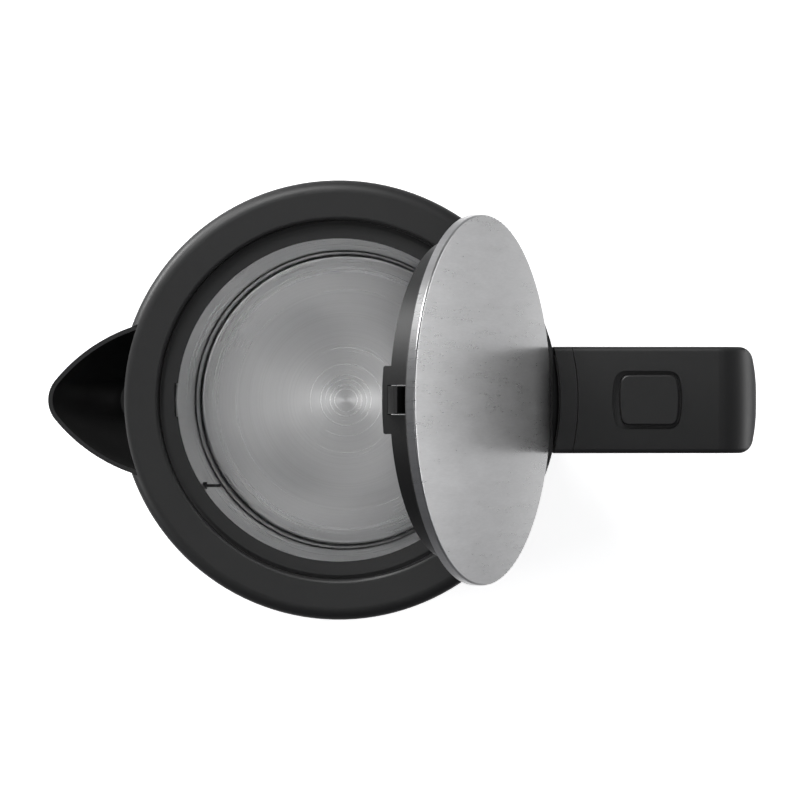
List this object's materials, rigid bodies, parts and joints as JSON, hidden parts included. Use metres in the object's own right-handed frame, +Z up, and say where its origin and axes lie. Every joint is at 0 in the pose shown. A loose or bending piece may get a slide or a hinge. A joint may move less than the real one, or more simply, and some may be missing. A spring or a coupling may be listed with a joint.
{
  "type": "electric kettle",
  "caption": "Cordless electric kettle on a round power base, black body with a V spout, D handle with a lid button, steel pot and a round steel hinged lid standing open.",
  "frame": {"origin": "on the kettle's vertical axis, at the underside of the power base's feet", "axes": "+Z up, +X towards the handle, spout at -X"},
  "size_m": [0.2425, 0.1652, 0.3436],
  "materials": {
    "black_textured": "fine_textured",
    "black_smooth": "satin",
    "grey_plastic": "satin",
    "brushed_lid": "brushed",
    "spun_steel": "spun",
    "steel": "bright",
    "aluminium": "satin",
    "brass": "bright",
    "silicone": "matte"
  },
  "bodies": {
    "power_base": {"base_top_cover": "black_textured", "base_bottom_cover": "black_smooth", "base_feet": "silicone", "base_screws": "steel", "cord_gland": "black_smooth", "base_connector": "black_smooth", "base_contacts": "brass"},
    "kettle": {"base_cap": "black_textured", "base_cap_screws": "steel", "outer_shell": "black_textured", "inner_pot": "spun_steel", "pot_gasket": "silicone", "max_level_tab": "black_smooth", "heating_plate": "aluminium", "heating_element": "aluminium", "bimetal_discs": "brass", "control_body": "grey_plastic", "control_contacts": "brass", "control_screws": "steel", "top_collar": "black_textured", "steam_tube": "silicone", "spout": "black_smooth", "spout_gasket": "silicone", "spout_filter": "spun_steel", "hinge_pin": "steel", "lid_springs": "steel", "handle_bracket": "black_textured", "handle_outer_shell": "black_textured", "handle_inner_cover": "black_textured", "handle_screws": "steel", "button_springs": "steel", "release_guide": "grey_plastic", "steam_switch": "grey_plastic", "steam_bimetal": "brass", "switch_pin": "steel"},
    "lid": {"lid_cap": "brushed_lid", "lid_plug": "black_smooth", "lid_seal": "silicone", "lid_inner_cover": "spun_steel", "lid_screws": "steel", "latch_spring": "steel"},
    "latch": {"latch_slide": "black_smooth"},
    "button": {"lid_button": "black_smooth"},
    "release": {"release_slide": "grey_plastic"},
    "switch": {"power_switch": "black_smooth"}
  },
  "joints": [
    {"name": "kettle_lift", "type": "slide", "parent": "power_base", "child": "kettle", "axis": [0, 0, 1], "range_m": [0, 0.12]},
    {"name": "lid_hinge", "type": "hinge", "parent": "kettle", "child": "lid", "pos_m": [0.066, 0, 0.2237], "axis": [0, 1, 0], "range_deg": [-67.15, 0], "stiffness_Nm_per_rad": 0.05, "springref_deg": 45.84},
    {"name": "button_press", "type": "slide", "parent": "kettle", "child": "button", "axis": [0, 0, -1], "range_m": [0, 0.003], "stiffness_N_per_m": 300, "springref_m": -0.002, "deforming": ["button_springs"]},
    {"name": "latch_pull", "type": "slide", "parent": "lid", "child": "latch", "axis": [0.3883, 0, -0.9215], "range_m": [0, 0.003], "deforming": ["latch_spring"]},
    {"name": "release_pull", "type": "slide", "parent": "kettle", "child": "release", "axis": [1, 0, 0], "range_m": [0, 0.003]},
    {"name": "power_switch_rock", "type": "hinge", "parent": "kettle", "child": "switch", "pos_m": [0.0718, 0, 0.038], "axis": [0, 1, 0], "range_deg": [0, 12]}
  ],
  "couplings": [
    {"joint": "latch_pull", "follows": "button_press", "ratio": 1},
    {"joint": "release_pull", "follows": "button_press", "ratio": 1}
  ]
}
